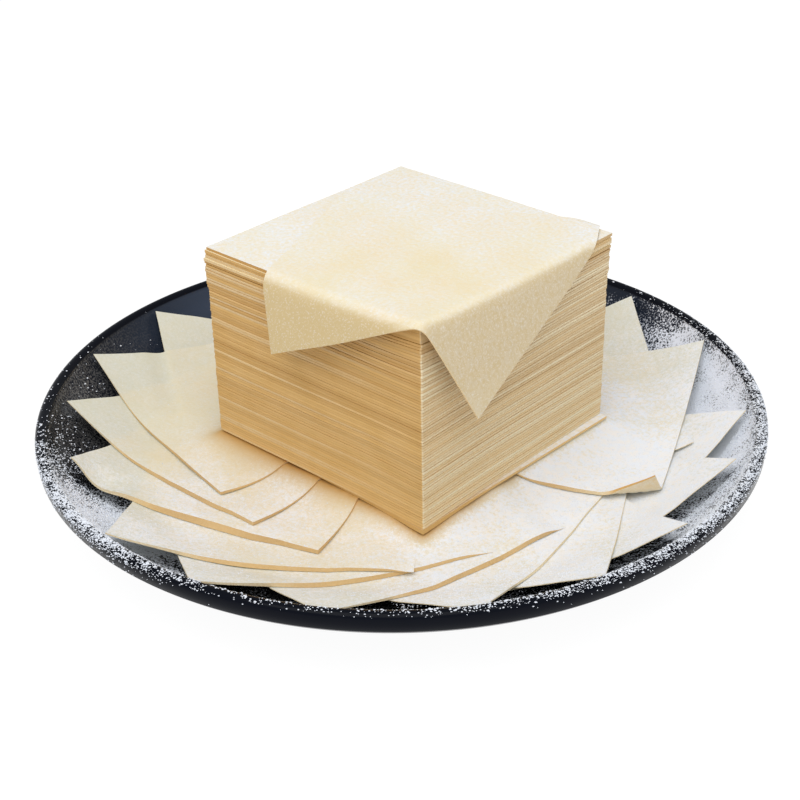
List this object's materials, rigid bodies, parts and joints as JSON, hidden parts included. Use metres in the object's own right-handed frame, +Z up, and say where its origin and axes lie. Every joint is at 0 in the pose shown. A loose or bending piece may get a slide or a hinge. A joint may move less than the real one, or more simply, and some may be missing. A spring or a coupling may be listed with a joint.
{
  "type": "stack of wonton wrappers",
  "caption": "Tall stack of square wonton wrappers on a round dark plate, with a fan of loose wrappers beneath it and one wrapper draped over its top.",
  "frame": {"origin": "middle of the plate's foot ring, on the surface it stands on", "axes": "+Z up, X and Y along the sides of the stack; the picture looks between +Y and -X"},
  "size_m": [0.239, 0.239, 0.0856],
  "materials": {
    "plate_glaze": "glossy black glaze",
    "fan_dough": "matte floured dough",
    "stack_dough": "matte dough"
  },
  "bodies": {
    "root": {"plate": "plate_glaze", "fan_wrapper_01": "fan_dough", "fan_wrapper_02": "fan_dough", "fan_wrapper_03": "fan_dough", "fan_wrapper_04": "fan_dough", "fan_wrapper_05": "fan_dough", "fan_wrapper_06": "fan_dough", "fan_wrapper_07": "fan_dough", "fan_wrapper_08": "fan_dough", "fan_wrapper_09": "fan_dough", "fan_wrapper_10": "fan_dough", "fan_wrapper_11": "fan_dough", "fan_wrapper_12": "fan_dough", "fan_wrapper_13": "fan_dough", "fan_wrapper_14": "fan_dough", "fan_wrapper_15": "fan_dough", "fan_wrapper_16": "fan_dough", "fan_wrapper_17": "fan_dough", "fan_wrapper_18": "fan_dough", "base_wrapper": "stack_dough", "wrapper_stack": "stack_dough", "loose_wrapper_1": "stack_dough", "loose_wrapper_2": "stack_dough", "loose_wrapper_3": "stack_dough", "loose_wrapper_4": "stack_dough", "loose_wrapper_5": "stack_dough", "loose_wrapper_6": "stack_dough", "draped_wrapper": "stack_dough"}
  },
  "joints": []
}
